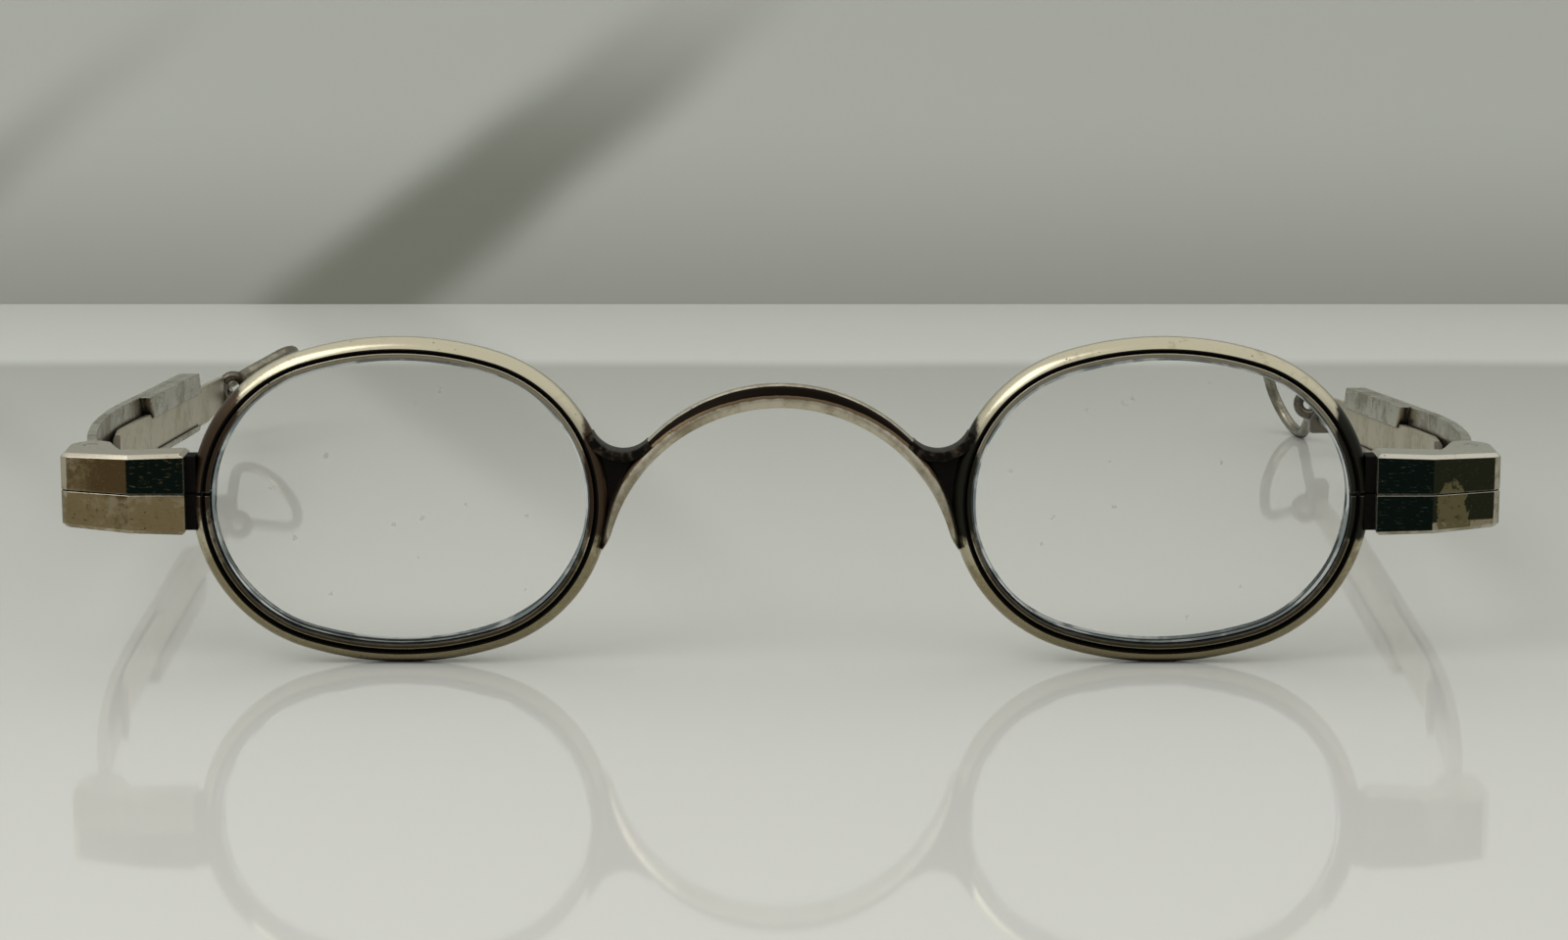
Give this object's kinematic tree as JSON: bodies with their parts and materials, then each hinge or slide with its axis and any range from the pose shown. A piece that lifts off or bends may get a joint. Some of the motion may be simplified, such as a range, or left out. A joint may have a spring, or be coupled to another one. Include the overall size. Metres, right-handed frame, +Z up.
{
  "type": "spectacles",
  "caption": "Oval-lens silver spectacles with a C-shaped bridge, hinged temples, sliding rear straps and teardrop ribbon loops.",
  "frame": {"origin": "middle of the base of the bounding box, on the surface the spectacles stand on", "axes": "+X across the face from the left rim to the right rim as seen from the front, +Y from the lenses back along the temples, +Z up"},
  "size_m": [0.1163, 0.102, 0.026],
  "materials": {
    "silver": "worn and toned coin silver, polished on the rims and dull on the flats",
    "screw_metal": "darkened steel screw",
    "lens_glass": "clear ground glass with a faint green edge"
  },
  "bodies": {
    "front": {"bridge": "silver", "left_rim": "silver", "left_lens": "lens_glass", "left_end_upper": "silver", "left_end_lower": "silver", "left_hinge_screw": "screw_metal", "right_rim": "silver", "right_lens": "lens_glass", "right_end_upper": "silver", "right_end_lower": "silver", "right_hinge_screw": "screw_metal"},
    "left_temple": {"left_temple_strap": "silver", "left_slide_guide": "silver"},
    "left_slide": {"left_slide_strap": "silver", "left_slide_collar": "silver", "left_loop": "silver"},
    "right_temple": {"right_temple_strap": "silver", "right_slide_guide": "silver"},
    "right_slide": {"right_slide_strap": "silver", "right_slide_collar": "silver", "right_loop": "silver"}
  },
  "joints": [
    {"name": "left_hinge", "type": "hinge", "parent": "front", "child": "left_temple", "pos_m": [-0.05465, -0.04565, 0.0137], "axis": [0, 0, -1], "range_deg": [0, 80]},
    {"name": "right_hinge", "type": "hinge", "parent": "front", "child": "right_temple", "pos_m": [0.05465, -0.04565, 0.0137], "axis": [0, 0, 1], "range_deg": [0, 83]},
    {"name": "left_extension", "type": "slide", "parent": "left_temple", "child": "left_slide", "axis": [0.0261, 0.9964, -0.0804], "range_m": [0, 0.012]},
    {"name": "right_extension", "type": "slide", "parent": "right_temple", "child": "right_slide", "axis": [-0.0503, 0.9936, -0.1014], "range_m": [0, 0.012]}
  ]
}
